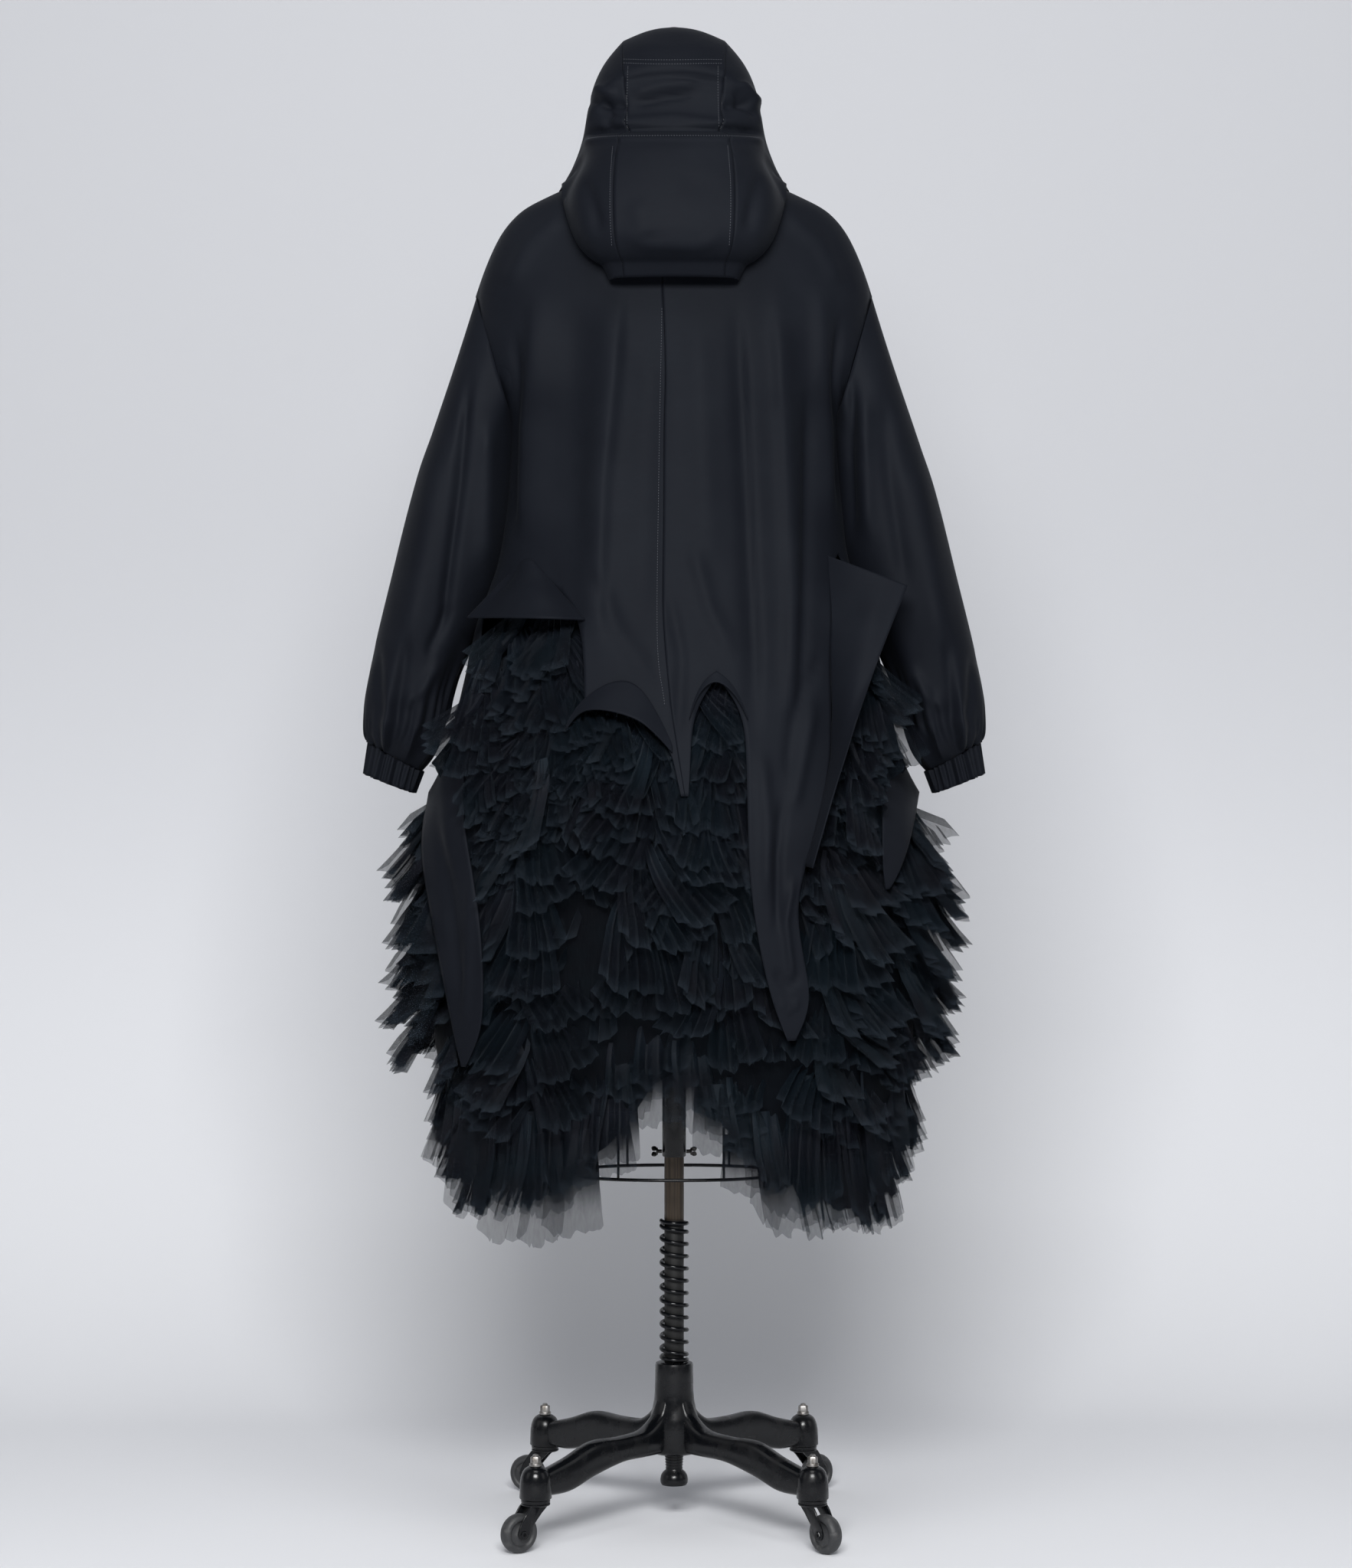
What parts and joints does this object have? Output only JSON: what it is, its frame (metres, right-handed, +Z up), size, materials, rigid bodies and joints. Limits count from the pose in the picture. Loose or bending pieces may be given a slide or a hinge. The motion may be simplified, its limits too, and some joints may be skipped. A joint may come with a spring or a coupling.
{
  "type": "ruffled coat on dress form and stand",
  "caption": "Oversize hooded coat, cut open at the back over cascades of gathered net, on a limbless dress form that turns, slides and rolls on a sprung caster stand.",
  "frame": {"origin": "on the floor under the pole's axis", "axes": "+X to the wearer's right, +Y the way the wearer faces, +Z up; the coat's back faces -Y"},
  "size_m": [0.815, 0.594, 1.9565],
  "materials": {
    "gabardine": "matte twill",
    "tulle": "sheer net",
    "form_cover": "matte jersey",
    "cage_wire": "satin black",
    "tube_enamel": "worn black enamel",
    "spring_wire": "worn black enamel",
    "base_enamel": "worn gloss enamel",
    "screw_steel": "worn plating",
    "pole_wood": "worn wood",
    "tread_rubber": "satin"
  },
  "bodies": {
    "base": {"base": "base_enamel", "bolt_back_left": "screw_steel", "bolt_back_right": "screw_steel", "bolt_front_left": "screw_steel", "bolt_front_right": "screw_steel"},
    "pole": {"pole": "pole_wood", "foot": "base_enamel", "spring": "spring_wire"},
    "tube": {"form_tube": "tube_enamel"},
    "screw_left": {"thumbscrew_left": "screw_steel"},
    "screw_right": {"thumbscrew_right": "screw_steel"},
    "form": {"form_torso": "form_cover", "head_block": "form_cover", "cage": "cage_wire", "back_left": "gabardine", "back_right": "gabardine", "front_left": "gabardine", "front_right": "gabardine", "placket": "gabardine", "sleeve_left": "gabardine", "sleeve_right": "gabardine", "cuff_left": "gabardine", "cuff_right": "gabardine", "hood_centre": "gabardine", "hood_side_left": "gabardine", "hood_side_right": "gabardine", "flap_left": "gabardine", "flap_mid_left": "gabardine", "flap_mid_right": "gabardine", "flap_right": "gabardine", "underskirt": "tulle", "cascade_left": "tulle", "cascade_mid_left": "tulle", "cascade_mid_right": "tulle", "cascade_right": "tulle", "ruffle_tier_1": "tulle", "ruffle_tier_2": "tulle", "ruffle_tier_3": "tulle", "ruffle_tier_4": "tulle", "ruffle_tier_5": "tulle", "ruffle_tier_6": "tulle"},
    "swivel_back_left": {"fork_back_left": "base_enamel"},
    "swivel_back_right": {"fork_back_right": "base_enamel"},
    "swivel_front_left": {"fork_front_left": "base_enamel"},
    "swivel_front_right": {"fork_front_right": "base_enamel"},
    "roller_back_left": {"wheel_back_left": "tread_rubber"},
    "roller_back_right": {"wheel_back_right": "tread_rubber"},
    "roller_front_left": {"wheel_front_left": "tread_rubber"},
    "roller_front_right": {"wheel_front_right": "tread_rubber"}
  },
  "joints": [
    {"name": "pole_plunge", "type": "slide", "parent": "base", "child": "pole", "axis": [0, 0, 1], "range_m": [-0.04, 0], "stiffness_N_per_m": 6000, "springref_m": 0.03, "deforming": ["spring"]},
    {"name": "height_slide", "type": "slide", "parent": "pole", "child": "tube", "axis": [0, 0, 1], "range_m": [-0.075, 0.15]},
    {"name": "form_turn", "type": "hinge", "parent": "tube", "child": "form", "pos_m": [0, 0, 0.95], "axis": [0, 0, 1], "continuous": true},
    {"name": "screw_turn_left", "type": "hinge", "parent": "tube", "child": "screw_left", "pos_m": [-0.02, 0, 0.485], "axis": [1, 0, 0], "continuous": true},
    {"name": "screw_turn_right", "type": "hinge", "parent": "tube", "child": "screw_right", "pos_m": [0.02, 0, 0.485], "axis": [1, 0, 0], "continuous": true},
    {"name": "swivel_turn_back_left", "type": "hinge", "parent": "base", "child": "swivel_back_left", "pos_m": [-0.175, -0.175, 0.066], "axis": [0, 0, 1], "continuous": true},
    {"name": "swivel_turn_back_right", "type": "hinge", "parent": "base", "child": "swivel_back_right", "pos_m": [0.175, -0.175, 0.066], "axis": [0, 0, 1], "continuous": true},
    {"name": "swivel_turn_front_left", "type": "hinge", "parent": "base", "child": "swivel_front_left", "pos_m": [-0.175, 0.175, 0.066], "axis": [0, 0, 1], "continuous": true},
    {"name": "swivel_turn_front_right", "type": "hinge", "parent": "base", "child": "swivel_front_right", "pos_m": [0.175, 0.175, 0.066], "axis": [0, 0, 1], "continuous": true},
    {"name": "roll_back_left", "type": "hinge", "parent": "swivel_back_left", "child": "roller_back_left", "pos_m": [-0.19573, -0.18898, 0.025], "axis": [0.5592, -0.829, 0], "continuous": true},
    {"name": "roll_back_right", "type": "hinge", "parent": "swivel_back_right", "child": "roller_back_right", "pos_m": [0.19073, -0.19443, 0.025], "axis": [0.7771, 0.6293, 0], "continuous": true},
    {"name": "roll_front_left", "type": "hinge", "parent": "swivel_front_left", "child": "roller_front_left", "pos_m": [-0.19849, 0.18355, 0.025], "axis": [-0.342, -0.9397, 0], "continuous": true},
    {"name": "roll_front_right", "type": "hinge", "parent": "swivel_front_right", "child": "roller_front_right", "pos_m": [0.19415, 0.19107, 0.025], "axis": [-0.6428, 0.766, 0], "continuous": true}
  ]
}
